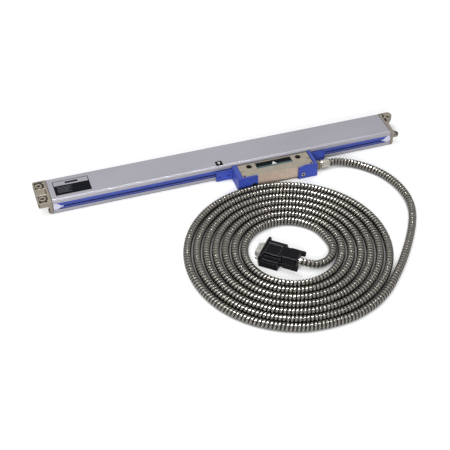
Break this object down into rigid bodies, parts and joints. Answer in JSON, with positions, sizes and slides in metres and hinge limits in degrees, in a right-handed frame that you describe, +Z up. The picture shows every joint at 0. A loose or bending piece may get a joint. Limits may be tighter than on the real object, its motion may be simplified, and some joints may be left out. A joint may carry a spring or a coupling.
{
  "type": "linear glass scale",
  "caption": "Sealed linear glass scale with a sliding reading head, blue alignment brackets and an armoured cable wound in a flat spiral to a D-sub plug.",
  "frame": {"origin": "centre of the box around the scale, head and brackets, on the surface that they stand on", "axes": "+X along the scale towards the cable's exit, +Y from the sealing lips to the housing's back, +Z up through the nameplate"},
  "size_m": [0.442, 0.3006, 0.0183],
  "materials": {
    "anodised_housing": "satin anodised",
    "lip_rubber": "satin",
    "scale_glass": "polished",
    "black_rubber": "matt",
    "cast_paint": "fine texture",
    "head_paint": "fine texture",
    "screw_steel": "zinc plated",
    "dark_screw": "black oxide",
    "label_black": "printed film",
    "window_film": "gloss film",
    "mark_white": "printed film",
    "circuit_board": "solder mask",
    "blade_steel": "ground",
    "spring_bronze": "rolled",
    "carriage_plastic": "moulded",
    "led_lens": "clear epoxy",
    "roller_steel": "ground",
    "blue_plastic": "moulded",
    "gland_nickel": "nickel plated",
    "cable_armour": "wound strip",
    "hood_plastic": "moulded",
    "plug_shell": "tin plated",
    "insert_plastic": "moulded",
    "pin_brass": "gold flash",
    "thumb_plastic": "moulded"
  },
  "bodies": {
    "scale": {"scale_housing": "anodised_housing", "upper_lip_seal": "lip_rubber", "lower_lip_seal": "lip_rubber", "glass_scale": "scale_glass", "glass_clamp_cord": "black_rubber", "left_end_gasket": "black_rubber", "right_end_gasket": "black_rubber", "left_end_cap": "cast_paint", "right_end_cap": "cast_paint", "left_cap_screws": "screw_steel", "right_cap_screws": "screw_steel", "nameplate": "label_black", "reference_label": "label_black"},
    "reading_head": {"head_housing": "head_paint", "head_bottom_cover": "cast_paint", "cover_screws": "screw_steel", "window_label": "window_film", "index_mark": "mark_white", "head_grub_screws": "dark_screw", "signal_board": "circuit_board", "head_blade": "blade_steel", "blade_screws": "screw_steel", "coupling_spring": "spring_bronze", "scanning_carriage": "carriage_plastic", "led_module": "led_lens", "scanning_reticle": "scale_glass", "detector_board": "circuit_board", "left_bracket": "blue_plastic", "right_bracket": "blue_plastic", "bracket_screws": "screw_steel", "cable_gland": "gland_nickel", "gland_nut": "gland_nickel", "cable_tail": "cable_armour", "cable_coil": "cable_armour", "cable_lead": "cable_armour", "hood_upper_shell": "hood_plastic", "hood_lower_shell": "hood_plastic", "hood_screws": "screw_steel", "hood_cable_ring": "gland_nickel", "plug_flange": "plug_shell", "plug_insert": "insert_plastic", "plug_pins": "pin_brass"},
    "face_wheel_a": {"face_roller_a": "roller_steel"},
    "face_wheel_b": {"face_roller_b": "roller_steel"},
    "face_wheel_c": {"face_roller_c": "roller_steel"},
    "edge_wheel_a": {"edge_roller_a": "roller_steel"},
    "edge_wheel_b": {"edge_roller_b": "roller_steel"},
    "left_jackscrew": {"left_thumbscrew": "thumb_plastic"},
    "right_jackscrew": {"right_thumbscrew": "thumb_plastic"}
  },
  "joints": [
    {"name": "head_slide", "type": "slide", "parent": "scale", "child": "reading_head", "axis": [1, 0, 0], "range_m": [-0.206, 0.1]},
    {"name": "face_roller_a_spin", "type": "hinge", "parent": "reading_head", "child": "face_wheel_a", "pos_m": [0.031, 0.0142, 0.00694], "axis": [0, 1, 0], "continuous": true},
    {"name": "face_roller_b_spin", "type": "hinge", "parent": "reading_head", "child": "face_wheel_b", "pos_m": [0.075, 0.0142, 0.00694], "axis": [0, 1, 0], "continuous": true},
    {"name": "face_roller_c_spin", "type": "hinge", "parent": "reading_head", "child": "face_wheel_c", "pos_m": [0.053, 0.0212, 0.00694], "axis": [0, 1, 0], "continuous": true},
    {"name": "edge_roller_a_spin", "type": "hinge", "parent": "reading_head", "child": "edge_wheel_a", "pos_m": [0.031, 0.00864, 0.01075], "axis": [0, 0, 1], "continuous": true},
    {"name": "edge_roller_b_spin", "type": "hinge", "parent": "reading_head", "child": "edge_wheel_b", "pos_m": [0.075, 0.00864, 0.01075], "axis": [0, 0, 1], "continuous": true},
    {"name": "left_thumbscrew_spin", "type": "hinge", "parent": "reading_head", "child": "left_jackscrew", "pos_m": [-0.0137, -0.15383, 0.0078], "axis": [-0.7547, 0.6561, 0], "continuous": true},
    {"name": "right_thumbscrew_spin", "type": "hinge", "parent": "reading_head", "child": "right_jackscrew", "pos_m": [0.0027, -0.13497, 0.0078], "axis": [-0.7547, 0.6561, 0], "continuous": true}
  ],
  "couplings": [
    {"joint": "face_roller_a_spin", "follows": "head_slide", "rad_per_m": -400},
    {"joint": "face_roller_b_spin", "follows": "head_slide", "rad_per_m": -400},
    {"joint": "face_roller_c_spin", "follows": "head_slide", "rad_per_m": -400},
    {"joint": "edge_roller_a_spin", "follows": "head_slide", "rad_per_m": 400},
    {"joint": "edge_roller_b_spin", "follows": "head_slide", "rad_per_m": 400}
  ]
}
